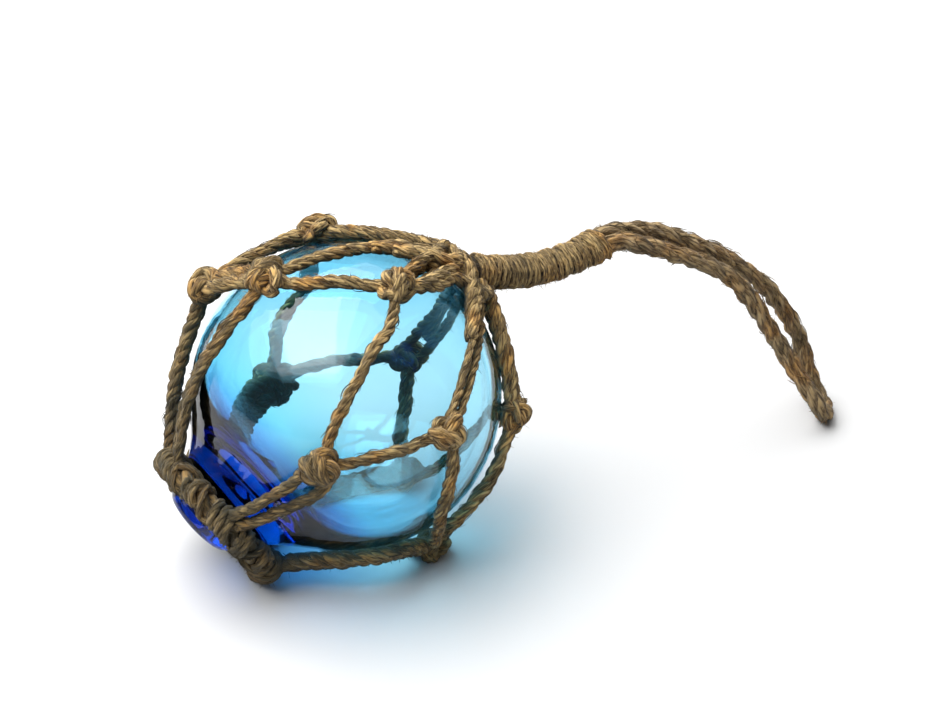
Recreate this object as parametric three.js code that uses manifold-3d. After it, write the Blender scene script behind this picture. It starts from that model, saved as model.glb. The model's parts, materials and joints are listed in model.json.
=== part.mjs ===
// Glass float ball in a knotted jute net, lying on its side, with a whipped neck and a hanging loop.
// Millimetres, +Z up. The floor is z = 0.
// Places on the ball are given as [degrees from the crown, degrees round the axis, radius]. The crown is
// where the net gathers, and 0 degrees round the axis is the side that faces the floor.

import * as THREE from 'three';
import { mergeVertices } from 'three/addons/utils/BufferGeometryUtils.js';
import Module from 'manifold-3d';

// Driving dimensions
const ballRadius = 38;
const sealTip = 48; // from the ball's centre to the end of the seal button
const sealRadius = 12.5;
const cordRadius = 1.3;
const cordGap = 0.3; // between pieces that touch
const facetSag = 0.3; // how far a cord's straight steps dip towards the glass
const cordTrack = ballRadius + cordGap + cordRadius + facetSag; // where a cord's middle runs
const pairSpacing = 2.7;
const ringRadius = 15.8;
const ringHeight = -42.4; // along the ball's axis
const ringCordRadius = 2.7;
const neckRadius = 4;
const collarRadius = 4.7;
const collarLength = 3.6;
const loopCordRadius = 1.95;

// Lying pose: where the ball's centre is, and how its axis leans
const ballCentre = [-10, 0.2, 40];
const axisTilt = THREE.MathUtils.degToRad(58.3); // from straight up
const axisHeading = THREE.MathUtils.degToRad(30.5); // round the vertical, from +X

// Fineness of the faceted solids
const ballSides = 36;
const cordSides = 6;
const cordStep = 10;
const ringSides = 6;
const ringSteps = 24;
const neckSides = 12;
const neckStep = 4;
const loopSides = 8;
const loopStep = 5;
const knotSides = 8;
const knotRings = 5;

const wasm = await Module();
wasm.setup();

// Solids and meshes

function toSolid(geometry) {
  const plain = geometry.index ? geometry.toNonIndexed() : geometry.clone();
  plain.deleteAttribute('normal');
  plain.deleteAttribute('uv');
  const merged = mergeVertices(plain, 1e-4);
  const mesh = new wasm.Mesh({
    numProp: 3,
    vertProperties: new Float32Array(merged.attributes.position.array),
    triVerts: new Uint32Array(merged.index.array),
  });
  return new wasm.Manifold(mesh);
}

function toGeometry(solid) {
  const mesh = solid.getMesh();
  const geometry = new THREE.BufferGeometry();
  geometry.setAttribute('position', new THREE.BufferAttribute(new Float32Array(mesh.vertProperties), 3));
  geometry.setIndex(new THREE.BufferAttribute(new Uint32Array(mesh.triVerts), 1));
  geometry.computeVertexNormals();
  return geometry;
}

function joined(solids) {
  return solids.reduce((sum, solid) => sum.add(solid));
}

function named(name, geometry, material) {
  const mesh = new THREE.Mesh(geometry, material);
  mesh.name = name;
  return mesh;
}

// A round section run along a curve, closed at both ends
function tube(curve, radius, sides, step) {
  const corners = [];
  for (let i = 0; i < sides; i++) {
    const angle = (2 * Math.PI * i) / sides;
    corners.push(new THREE.Vector2(radius * Math.cos(angle), radius * Math.sin(angle)));
  }
  const steps = Math.max(2, Math.round(curve.getLength() / step));
  return new THREE.ExtrudeGeometry(new THREE.Shape(corners), { extrudePath: curve, steps, bevelEnabled: false });
}

// Places on the ball

function onBall([fromCrown, round, radius = cordTrack]) {
  const phi = THREE.MathUtils.degToRad(fromCrown);
  const theta = THREE.MathUtils.degToRad(round);
  return new THREE.Vector3(
    radius * Math.sin(phi) * Math.cos(theta),
    radius * Math.sin(phi) * Math.sin(theta),
    radius * Math.cos(phi),
  );
}

// A cord's path over the ball: smooth through its places, never closer than the glass lets it lie,
// and shifted sideways where it is one of a pair
class NetPath extends THREE.Curve {
  constructor(places, shift) {
    super();
    this.spline = new THREE.CatmullRomCurve3(places.map(onBall), false, 'centripetal');
    this.shift = shift;
  }

  getPoint(t, target = new THREE.Vector3()) {
    const point = this.spline.getPoint(t, target);
    const across = point.clone().normalize().cross(this.spline.getTangent(t));
    point.addScaledVector(across, this.shift);
    return point.setLength(Math.max(point.length(), cordTrack));
  }
}

// Knots: where each is, how wide it is over the ball and how deep from front to back (radii)

const knots = {
  crownFront: { at: [54, 210, 41.2], wide: 3.8, deep: 2.7 },
  crownNear: { at: [76, 263, 41.2], wide: 3.9, deep: 2.7 },
  crownRight: { at: [49, 312, 41.2], wide: 3.6, deep: 2.7 },
  crownBack: { at: [58, 46, 41.2], wide: 3.8, deep: 2.7 },
  crownTop: { at: [58, 142, 41.9], wide: 4.4, deep: 3.3 },
  lowNear: { at: [115, 242, 41.4], wide: 4, deep: 2.8 },
  lowUnder: { at: [102, 333, 43.5], wide: 4.4, deep: 3.6 },
  lowFloor: { at: [92, 11, 43], wide: 4.5, deep: 3.6 },
  lowBack: { at: [104, 73, 41.6], wide: 4.4, deep: 3 },
  lowTall: { at: [100, 149, 44], wide: 3.6, deep: 3 },
  lowTop: { at: [85, 176, 41.4], wide: 4.2, deep: 2.8 },
};

function knotGeometry({ at, wide, deep }) {
  const place = onBall(at);
  const geometry = new THREE.SphereGeometry(1, knotSides, knotRings);
  geometry.rotateX(Math.PI / 2);
  geometry.scale(wide, wide, deep);
  const turn = new THREE.Quaternion().setFromUnitVectors(new THREE.Vector3(0, 0, 1), place.clone().normalize());
  return geometry.applyQuaternion(turn).translate(place.x, place.y, place.z);
}

// Ring round the seal, with a lump at each place where a pair of cords is tied to it

const ringTies = { floor: 12, back: 85, tall: 130, top: 172, near: 240, under: 318 };
const tieRadius = 4.1;
const tieOut = 1.2; // how far the lumps sit outside the ring's own circle

function ringPlace(round, radius = ringRadius) {
  const theta = THREE.MathUtils.degToRad(round);
  return new THREE.Vector3(radius * Math.cos(theta), radius * Math.sin(theta), ringHeight);
}

function ringSolid(extra) {
  const rope = new THREE.TorusGeometry(ringRadius, ringCordRadius + extra, ringSides, ringSteps);
  rope.translate(0, 0, ringHeight);
  const lumps = Object.values(ringTies).map((round) => {
    const place = ringPlace(round, ringRadius + tieOut);
    return new THREE.SphereGeometry(tieRadius + extra, knotSides, knotRings).translate(place.x, place.y, place.z);
  });
  return joined([rope, ...lumps].map(toSolid));
}

// Glass: a ball that draws out towards the seal and ends in a domed button

function glassProfile(extra) {
  const sphereEnd = THREE.MathUtils.degToRad(143);
  const arcSteps = 12;
  const points = [];
  for (let i = 0; i <= arcSteps; i++) {
    const angle = (sphereEnd * i) / arcSteps;
    const radius = ballRadius + extra;
    points.push(new THREE.Vector2(i ? radius * Math.sin(angle) : 0, radius * Math.cos(angle)));
  }
  points.push(new THREE.Vector2(18.6 + extra, -34));
  points.push(new THREE.Vector2(14.6 + extra, -38));
  points.push(new THREE.Vector2(sealRadius, -41.5));
  points.push(new THREE.Vector2(sealRadius, -43.6));
  points.push(new THREE.Vector2(11.6, -45.4));
  points.push(new THREE.Vector2(8.5, -47));
  points.push(new THREE.Vector2(4.4, -47.8));
  points.push(new THREE.Vector2(0, -sealTip));
  return points.reverse();
}

function glassGeometry(extra = 0) {
  const lathe = new THREE.LatheGeometry(glassProfile(extra), ballSides);
  return lathe.rotateX(Math.PI / 2);
}

// Net: twelve cords leave the crown, are knotted two and two, part, are knotted again and run to the ring.
// Each run is [from, places on its way, to], where a name is a knot and shift puts it beside its neighbour.

const crown = [0, 0, 42.5];
const half = pairSpacing / 2;

const crownPairs = [
  { to: 'crownFront', way: [[10, 195, 42.6], [26, 202], [42, 209]], spread: 1.5 },
  { to: 'crownNear', way: [[10, 245, 42.4], [29, 252], [45, 256], [62, 260]], spread: 1.2 },
  { to: 'crownRight', way: [[10, 285, 42.6], [22, 302, 40.6], [36, 308, 40.3]], spread: 1 },
  { to: 'crownBack', way: [[12, 58, 42], [28, 50], [44, 47]], spread: 1.3 },
  { to: 'crownTop', way: [[12, 163, 42.8], [25, 155, 40.6], [40, 150, 40.2]], spread: 1 },
];

const crownSingles = [
  { to: 'lowTop', way: [[12, 172, 42.6], [26, 170], [45, 179], [64, 178]] },
  { to: 'lowTall', way: [[12, 150, 42.4], [26, 143], [44, 135], [60, 132], [76, 139, 40.4], [90, 144, 41.8]] },
];

const meshRuns = [
  { from: 'crownFront', to: 'lowNear', way: [[65, 221], [78, 225], [90, 229], [102, 234]] },
  { from: 'crownNear', to: 'lowNear', way: [[85, 259], [96, 254], [107, 248]] },
  { from: 'crownNear', to: 'lowUnder', way: [[82, 278], [88, 285], [95, 296], [100, 313, 40.6]] },
  { from: 'crownRight', to: 'lowUnder', way: [[60, 313, 40.4], [73, 314, 40.6], [86, 317, 40.4], [96, 324, 41]] },
  { from: 'crownRight', to: 'lowFloor', way: [[50, 331], [62, 348], [74, 354], [84, 1, 40.6]] },
  { from: 'crownBack', to: 'lowFloor', way: [[68, 34], [80, 24], [87, 17, 40.8]] },
  { from: 'crownBack', to: 'lowBack', way: [[70, 58], [82, 66], [93, 71]] },
  { from: 'crownTop', to: 'lowBack', way: [[60, 122], [68, 105], [80, 96], [92, 86]] },
  { from: 'crownTop', to: 'lowTall', way: [[68, 146, 40.4], [80, 149, 40.8], [91, 151, 42]] },
  { from: 'crownFront', to: 'lowTop', way: [[62, 201], [71, 192], [79, 185]] },
  { from: 'lowTop', to: 'lowTall', way: [[89, 165, 40.6], [95, 157, 42]] },
];

const ringPairs = [
  { from: 'lowFloor', tie: 'floor', way: [[108, 18, 40.2], [125, 20, 39.9], [142, 17, 41.2]] },
  { from: 'lowBack', tie: 'back', way: [[118, 76], [133, 79, 40.4], [146, 82, 42.4]] },
  { from: 'lowTall', tie: 'tall', way: [[112, 143, 41.2], [125, 141, 41], [139, 138, 42.1], [149, 134, 43.4]] },
  { from: 'lowTop', tie: 'top', way: [[98, 176], [112, 175], [127, 170], [141, 168, 41.2], [150, 170, 43]] },
  { from: 'lowNear', tie: 'near', way: [[124, 246], [136, 246, 40.2], [149, 244, 42.6]] },
  { from: 'lowUnder', tie: 'under', way: [[112, 322, 41.4], [122, 318, 41.2], [134, 317, 41.6], [147, 317, 43]] },
];

function netCord(places, shift = 0) {
  return tube(new NetPath(places, shift), cordRadius, cordSides, cordStep);
}

function tiePlace(round) {
  const place = ringPlace(round, ringRadius + tieOut);
  const fromCrown = THREE.MathUtils.radToDeg(Math.acos(place.z / place.length()));
  return [fromCrown, round, place.length()];
}

function netCords() {
  const cords = [];
  for (const { to, way, spread } of crownPairs) {
    for (const side of [-1, 1]) cords.push(netCord([crown, ...way, knots[to].at], side * half * spread));
  }
  for (const { to, way } of crownSingles) cords.push(netCord([crown, ...way, knots[to].at]));
  for (const { from, to, way } of meshRuns) cords.push(netCord([knots[from].at, ...way, knots[to].at]));
  for (const { from, tie, way } of ringPairs) {
    const end = tiePlace(ringTies[tie]);
    for (const side of [-1, 1]) cords.push(netCord([knots[from].at, ...way, end], side * half));
  }
  return cords;
}

// Crown: the cords cross over each other in a lump and turn together into the neck

function crownGeometry() {
  const lump = new THREE.SphereGeometry(1, 10, 7);
  lump.scale(7, 5.6, 3.7);
  lump.translate(-1.5, 0, 42.4);
  return lump;
}

// Neck: twine wound tightly about the gathered cords, which lean over as they leave the crown

const neckRoute = [
  [-2, -0.2, 43.8], [0.4, 0, 45.6], [4.6, 0.3, 48.9], [9.1, 0.8, 53.1], [13.1, 1.2, 57.7],
  [16.3, 1.3, 62.8], [18.7, 1.2, 68.1], [20.1, 1.2, 72.4], [21.2, 1.3, 75.3],
];
const neckCurve = new THREE.CatmullRomCurve3(neckRoute.map((place) => new THREE.Vector3(...place)));

// The stretch of the neck's centreline between two lengths from its start
class Stretch extends THREE.Curve {
  constructor(curve, start, end) {
    super();
    const whole = curve.getLength();
    this.curve = curve;
    this.start = start / whole;
    this.end = end / whole;
  }

  getPoint(t, target = new THREE.Vector3()) {
    return this.curve.getPointAt(this.start + (this.end - this.start) * t, target);
  }
}

const stemLength = 3.4; // bare cords between the crown's middle and the first turn
const neckLength = neckCurve.getLength();

function neckSolid(extra) {
  const turns = new Stretch(neckCurve, stemLength - extra, neckLength);
  const collar = new Stretch(neckCurve, neckLength - collarLength, neckLength);
  const solids = [tube(turns, neckRadius + 2 * extra, neckSides, neckStep)];
  if (!extra) solids.push(tube(collar, collarRadius, neckSides, 2));
  return joined(solids.map(toSolid));
}

function stemSolid() {
  return toSolid(tube(new Stretch(neckCurve, 0, stemLength + 1), neckRadius - 0.5, neckSides, 2));
}

// Hanging loop: one cord out of the neck, round a bend that rests on the floor, and back to the neck

const loopRoute = [
  [53.4, 41.5, 62], [55.5, 42.8, 62.4], [60.8, 45.4, 61.6], [67.4, 48.4, 59.7], [74.1, 51, 56.5],
  [80.9, 53.8, 52.4], [87.9, 56.7, 47.5], [95, 59.2, 41], [100.9, 61.6, 33.3], [105.6, 63.6, 25],
  [109.4, 65, 16.6], [111.8, 64.6, 8], [113.9, 62.1, 4], [115.2, 58.4, 2.3], [115.3, 54.3, 2.5],
  [114.2, 50.8, 4.6], [112, 48.8, 8.2], [109.1, 49, 12.6], [104.2, 51.4, 18.9], [100.7, 51.5, 24.6],
  [97.1, 50.8, 30.9], [93, 49.7, 37.9], [88.1, 48.3, 44.3], [81.8, 46.7, 49.4], [75.1, 44.9, 53.3],
  [68.5, 42.8, 56.7], [62.4, 40.9, 59.6], [57.9, 39.3, 61.5], [55.8, 38, 61.2],
];

function loopGeometry() {
  const curve = new THREE.CatmullRomCurve3(loopRoute.map((place) => new THREE.Vector3(...place)));
  return tube(curve, loopCordRadius, loopSides, loopStep);
}

// Materials

const glass = new THREE.MeshStandardMaterial({ color: 0x35a3d8, roughness: 0.05, metalness: 0 });
const jute = new THREE.MeshStandardMaterial({ color: 0x9a7440, roughness: 0.95, metalness: 0 });
const twine = new THREE.MeshStandardMaterial({ color: 0x8c6a38, roughness: 0.95, metalness: 0 });

// The ball's own frame, laid down on the floor

const float = new THREE.Group();
float.rotation.set(0, axisTilt, axisHeading, 'ZYX');
float.position.set(...ballCentre);
float.updateMatrixWorld();

// What is below the floor, in the ball's own frame. Cutting it away leaves small flats to rest on.
function belowFloor() {
  const slab = new THREE.BoxGeometry(300, 300, 40).translate(0, 0, -20);
  return toSolid(slab.applyMatrix4(float.matrixWorld.clone().invert()));
}

const net = joined([...netCords(), ...Object.values(knots).map(knotGeometry), crownGeometry()].map(toSolid))
  .add(stemSolid())
  .subtract(ringSolid(cordGap))
  .subtract(neckSolid(cordGap))
  .subtract(belowFloor());

float.add(named('glass_ball', glassGeometry(), glass));
float.add(named('net', toGeometry(net), jute));
float.add(named('base_ring', toGeometry(ringSolid(0).subtract(belowFloor())), jute));
float.add(named('neck_whipping', toGeometry(neckSolid(0)), twine));

const part = new THREE.Group();
part.add(float);
part.add(named('hanging_loop', loopGeometry(), jute));

export default part;
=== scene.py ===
import json
import math

import bpy
import numpy as np
from mathutils import Matrix, Vector

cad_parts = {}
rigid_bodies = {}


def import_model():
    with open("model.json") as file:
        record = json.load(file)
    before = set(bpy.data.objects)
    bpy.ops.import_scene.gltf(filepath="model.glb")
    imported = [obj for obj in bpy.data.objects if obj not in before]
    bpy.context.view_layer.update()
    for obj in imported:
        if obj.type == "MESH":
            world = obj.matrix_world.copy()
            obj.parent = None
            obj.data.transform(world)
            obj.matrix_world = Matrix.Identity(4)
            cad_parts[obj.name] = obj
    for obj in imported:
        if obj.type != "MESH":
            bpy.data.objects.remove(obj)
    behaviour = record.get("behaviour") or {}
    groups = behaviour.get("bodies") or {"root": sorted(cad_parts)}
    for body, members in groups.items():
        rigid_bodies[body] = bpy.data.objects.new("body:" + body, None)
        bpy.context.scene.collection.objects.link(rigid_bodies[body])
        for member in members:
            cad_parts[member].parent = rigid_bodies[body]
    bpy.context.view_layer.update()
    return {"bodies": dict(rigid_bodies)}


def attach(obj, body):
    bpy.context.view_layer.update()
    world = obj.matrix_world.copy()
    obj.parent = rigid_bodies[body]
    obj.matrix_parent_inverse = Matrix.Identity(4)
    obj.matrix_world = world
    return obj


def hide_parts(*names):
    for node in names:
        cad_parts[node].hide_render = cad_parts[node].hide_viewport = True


# Netted glass float, lying on its side: blown glass, jute net, whipped neck and hanging loop.
# Metres, +Z up. Cord sizes are given in millimetres where a note says so.

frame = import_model()
mm = 0.001
floorHeight = 0.0

lying = {
    "centre": (-0.010, 0.0002, 0.040),  # of the glass ball
    "tilt": math.radians(58.3),  # of the ball's axis, from straight up
    "heading": math.radians(30.5),  # of the ball's axis, round the vertical
    "glassRadius": 0.038,
}
layDown = (
    Matrix.Translation(lying["centre"])
    @ Matrix.Rotation(lying["heading"], 4, "Z")
    @ Matrix.Rotation(lying["tilt"], 4, "Y")
)
ballTurn = np.array(layDown.to_3x3())
ballCentre = np.array(lying["centre"])


# camera

eye = {
    "target": (0.02106, 0.00509, 0.04814),
    "distance": 0.641,
    "elevation": math.radians(31),
    "lens": 100,
}


def setUpCamera():
    data = bpy.data.cameras.new("studio_camera")
    data.lens = eye["lens"]
    data.clip_start = 0.01
    camera = bpy.data.objects.new("studio_camera", data)
    bpy.context.scene.collection.objects.link(camera)
    back = Vector((0, -math.cos(eye["elevation"]), math.sin(eye["elevation"])))
    camera.location = Vector(eye["target"]) + back * eye["distance"]
    camera.rotation_euler = (math.pi / 2 - eye["elevation"], 0, 0)
    bpy.context.scene.camera = camera


setUpCamera()
print("camera placed")


# cord making: every strand is a tube of rings, gathered into skeins that become one mesh each

def smoothThrough(places, step, closed=False):
    # a centripetal spline through the places, as points an even step apart
    p = np.array(places, float)
    if closed:
        p = np.vstack([p[-1], p, p[0], p[1]])
    else:
        p = np.vstack([2 * p[0] - p[1], p, 2 * p[-1] - p[-2]])
    dense = []
    for a, b, c, d in zip(p, p[1:], p[2:], p[3:]):
        knots = np.cumsum([0] + [max(np.linalg.norm(v) ** 0.5, 1e-6) for v in (b - a, c - b, d - c)])
        t = np.linspace(knots[1], knots[2], 24, endpoint=False)[:, None]
        t0, t1, t2, t3 = knots
        ab = ((t1 - t) * a + (t - t0) * b) / (t1 - t0)
        bc = ((t2 - t) * b + (t - t1) * c) / (t2 - t1)
        cd = ((t3 - t) * c + (t - t2) * d) / (t3 - t2)
        abc = ((t2 - t) * ab + (t - t0) * bc) / (t2 - t0)
        bcd = ((t3 - t) * bc + (t - t1) * cd) / (t3 - t1)
        dense.append(((t2 - t) * abc + (t - t1) * bcd) / (t2 - t1))
    dense = np.vstack(dense + [p[-2][None]])
    run = np.concatenate([[0], np.cumsum(np.linalg.norm(np.diff(dense, axis=0), axis=1))])
    count = max(3, int(round(run[-1] / step)) + 1)
    even = np.linspace(0, run[-1], count)
    return np.column_stack([np.interp(even, run, dense[:, k]) for k in range(3)])


def unit(v):
    return v / np.maximum(np.linalg.norm(v, axis=-1, keepdims=True), 1e-12)


def runAlong(path):
    return np.concatenate([[0], np.cumsum(np.linalg.norm(np.diff(path, axis=0), axis=1))])


def carriedFrame(path, start=None):
    # tangents, and two directions across the path that don't twist on their way
    along = unit(np.gradient(path, axis=0))
    across = np.zeros_like(path)
    first = np.array(start if start is not None else (0.31, 0.23, 0.92), float)
    for i, t in enumerate(along):
        first = first - t * (first @ t)
        first = first / max(np.linalg.norm(first), 1e-12)
        across[i] = first
    return along, across, np.cross(along, across)


def wander(dice, run, wavelength, size):
    # smooth unevenness along a length, as a sum of a few waves with chance phases
    total = np.zeros_like(run)
    for share in (1.0, 0.55, 0.31):
        total += math.sqrt(share) * np.sin(2 * math.pi * (run / (wavelength * share) + dice.random()))
    return total * size / 1.7


def newSkein():
    return {"verts": [], "faces": [], "lay": [], "shade": [], "count": 0, "strands": []}


def ridges(dice, angles, run, size):
    # bundles of fibre that stand up along a strand: a few waves round it that drift as they run
    total = np.zeros((len(run), len(angles)))
    for waves in (2, 3, 4):
        drift = dice.normal() * 260 + dice.choice((-1, 1)) * 300  # radians a metre
        total += np.sin(waves * angles[None, :] + (drift * run + dice.random() * 7)[:, None])
    return 1 + total * size * 0.5


fibreUnit = 0.00065  # length of cord over which the pattern of its fibres moves on by one


def addTube(
    skein, path, radii, sides, shade, dice,
    fibreTurn=0.0, closed=False, keepForFuzz=True, rough=0.0, openness=0.5,
):
    # one strand: rings along the path, rounded off at both ends
    along, across, beside = carriedFrame(path)
    run = runAlong(path)
    radii = np.broadcast_to(radii, len(path)).astype(float)
    if closed:  # spread the frame's closing error along the ring
        error = math.atan2(across[-1] @ beside[0], across[-1] @ across[0])
        twist = -error * run / run[-1]
        cosTwist, sinTwist = np.cos(twist)[:, None], np.sin(twist)[:, None]
        across, beside = across * cosTwist + beside * sinTwist, beside * cosTwist - across * sinTwist
    angles = 2 * math.pi * np.arange(sides) / sides
    spokes = across[:, None] * np.cos(angles)[None, :, None] + beside[:, None] * np.sin(angles)[None, :, None]
    reach = radii[:, None] * (ridges(dice, angles, run, rough) if rough else np.ones((1, sides)))
    if closed and rough:  # the two ends of the ridges fade into each other
        fade = np.clip(run / run[-1] * 6, 0, 1)[:, None]
        reach = reach * fade + np.roll(reach, 1, axis=0)[:1] * (1 - fade)
    rings = path[:, None] + spokes * reach[:, :, None]
    fibre = angles[None, :] - fibreTurn * run[:, None]
    depth = np.broadcast_to((run / fibreUnit)[:, None], fibre.shape) + 97.0 * dice.random()
    lay = np.stack([np.cos(fibre), np.sin(fibre), depth], axis=2)
    if np.ndim(shade):  # the way out of the rope: what faces inward lies in a crease and is painted in shade; openness is how light the sides are left
        shadeAround = np.clip(openness + 0.75 * np.einsum("nsk,nk->ns", spokes, shade), 0, 1)
    else:
        shadeAround = np.full(fibre.shape, shade)
    base = skein["count"]
    n = len(path)
    verts = [rings.reshape(-1, 3)]
    index = base + np.arange(n * sides).reshape(n, sides)
    following = np.roll(index, -1, axis=1)
    faces = [np.stack([index[:-1], following[:-1], following[1:], index[1:]], axis=2).reshape(-1, 4)]
    lays = [lay.reshape(-1, 3)]
    shades = [shadeAround.reshape(-1)]
    tips = []
    added = n * sides
    if closed:
        faces.append(np.stack([index[-1], following[-1], following[0], index[0]], axis=1))
    else:
        for end, ring, outward in ((0, index[0][::-1], -1), (n - 1, index[-1], 1)):
            verts.append((path[end] + outward * along[end] * radii[end] * 0.5)[None])
            lays.append(lay[end].mean(axis=0)[None])
            shades.append(shadeAround[end].mean(keepdims=True))
            tips.append(np.stack([ring, np.roll(ring, -1), np.full(sides, base + added)], axis=1))
            added += 1
    skein["verts"].append(np.vstack(verts))
    skein["faces"] += [list(map(tuple, f)) for f in faces + tips]
    skein["lay"].append(np.vstack(lays))
    skein["shade"].append(np.concatenate(shades))
    skein["count"] += added
    if keepForFuzz:
        skein["strands"].append((path, along, across, beside, radii))


def layRope(skein, path, rope, dice, start=None, closed=False, thickness=1.0, outside=None):
    # plies laid round each other along a path, each a little uneven
    across, beside = carriedFrame(path, start)[1:]
    run = runAlong(path)
    turns = run[-1] / rope["lay"]
    if closed:
        turns = round(turns)
    begin = dice.random() * 2 * math.pi
    thick = np.broadcast_to(thickness, len(path))
    slubLength = 0.009
    openness = rope.get("openness", 0.5)
    for ply in range(rope["plies"]):
        uneven = wander(dice, run, rope["lay"] * 2.3, rope["uneven"]) * (0 if closed else 1)
        angle = begin + 2 * math.pi * (ply / rope["plies"] + turns * run / max(run[-1], 1e-9)) + uneven * 2
        outward = across * np.cos(angle)[:, None] + beside * np.sin(angle)[:, None]
        centre = path + outward * (rope["offset"] * thick * (1 + uneven))[:, None]
        radii = rope["radius"] * thick * (1 + wander(dice, run, slubLength, rope["slub"]))
        centre[:, 2] = np.maximum(centre[:, 2], floorHeight + radii)
        addTube(
            skein, centre, radii, rope["sides"], outward if outside is None else outside, dice,
            fibreTurn=rope["fibreTurn"], closed=closed, rough=rope["rough"], openness=openness,
        )


# darkening painted into the jute: darker toward the seal, plus painted shade on what faces down and on the
# side of a cord that faces the glass where it touches
sealDarkAndPaintedShade = {
    "towardSeal": 0.62,
    "from": 0.005,  # along the ball's axis, where the net starts to darken
    "to": -0.031,
    # painted shade on what faces down
    "below": 0.36,
    # painted shade on the side of a cord that faces the glass
    "onGlass": 0.75,
    "nearGlass": 0.047,  # from the ball's centre, where a cord stops being against the glass
    "fadesOver": 0.004,
    "most": 0.92,
}


def gatherSealDarkAndPaintedShade(mesh):
    # how much darker each point is painted: darker toward the seal, and painted shade underneath and where a
    # cord lies against the glass
    points = np.empty(len(mesh.vertices) * 3, np.float32)
    normals = np.empty_like(points)
    mesh.vertices.foreach_get("co", points)
    mesh.vertices.foreach_get("normal", normals)
    normals = normals.reshape(-1, 3)
    away = points.reshape(-1, 3) - ballCentre
    height = away @ ballTurn[:, 2]
    nearSeal = np.clip((sealDarkAndPaintedShade["from"] - height) / (sealDarkAndPaintedShade["from"] - sealDarkAndPaintedShade["to"]), 0, 1)
    inward = np.clip(-np.einsum("nk,nk->n", normals, unit(away)) * 1.6, 0, 1)
    touching = np.clip((sealDarkAndPaintedShade["nearGlass"] - np.linalg.norm(away, axis=1)) / sealDarkAndPaintedShade["fadesOver"], 0, 1)
    # painted shade on surfaces that face down
    below = np.clip(-normals[:, 2] * 1.5, 0, 1)
    paintedShadeAndSealDarkness = nearSeal * sealDarkAndPaintedShade["towardSeal"] + below * sealDarkAndPaintedShade["below"] + inward * touching * sealDarkAndPaintedShade["onGlass"]
    return np.clip(paintedShadeAndSealDarkness, 0, sealDarkAndPaintedShade["most"])


def makePiece(name, skein, material):
    mesh = bpy.data.meshes.new(name)
    mesh.from_pydata(np.vstack(skein["verts"]).tolist(), [], [f for group in skein["faces"] for f in group])
    lay = mesh.attributes.new("lay", "FLOAT_VECTOR", "POINT")
    lay.data.foreach_set("vector", np.vstack(skein["lay"]).astype(np.float32).ravel())
    shade = mesh.attributes.new("shade", "FLOAT", "POINT")
    shade.data.foreach_set("value", np.concatenate(skein["shade"]).astype(np.float32))
    mesh.polygons.foreach_set("use_smooth", np.full(len(mesh.polygons), True))
    mesh.materials.append(material)
    mesh.update()
    # painted shade and darkening toward the seal, kept on each point for the jute material
    paintedShadeAndSealDarkness = mesh.attributes.new("sealDarkAndPaintedShade", "FLOAT", "POINT")
    paintedShadeAndSealDarkness.data.foreach_set("value", gatherSealDarkAndPaintedShade(mesh).astype(np.float32))
    piece = bpy.data.objects.new(name, mesh)
    bpy.context.scene.collection.objects.link(piece)
    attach(piece, next(iter(frame["bodies"])))
    return piece


# materials

def pointValue(group, name):
    node = group.nodes.new("ShaderNodeAttribute")
    node.attribute_name = name
    return node


def noise(group, vector, detail, scale=None):
    node = group.nodes.new("ShaderNodeTexNoise")
    node.inputs["Detail"].default_value = detail
    if scale is not None:
        node.inputs["Scale"].default_value = scale
    group.links.new(vector, node.inputs["Vector"])
    return node


def ranged(group, value, limits):
    node = group.nodes.new("ShaderNodeMapRange")
    for name, limit in limits.items():
        node.inputs[name].default_value = limit
    group.links.new(value, node.inputs["Value"])
    return node


def reckoned(group, operation, *values):
    node = group.nodes.new("ShaderNodeMath")
    node.operation = operation
    for socket, value in zip(node.inputs, values):
        if isinstance(value, float):
            socket.default_value = value
        else:
            group.links.new(value, socket)
    return node


def blended(group, share, under, over, way="MIX"):
    node = group.nodes.new("ShaderNodeMix")
    node.data_type = "RGBA"
    node.blend_type = way
    group.links.new(share, node.inputs["Factor"])
    group.links.new(under, node.inputs["A"])
    group.links.new(over, node.inputs["B"])
    return node


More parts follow.
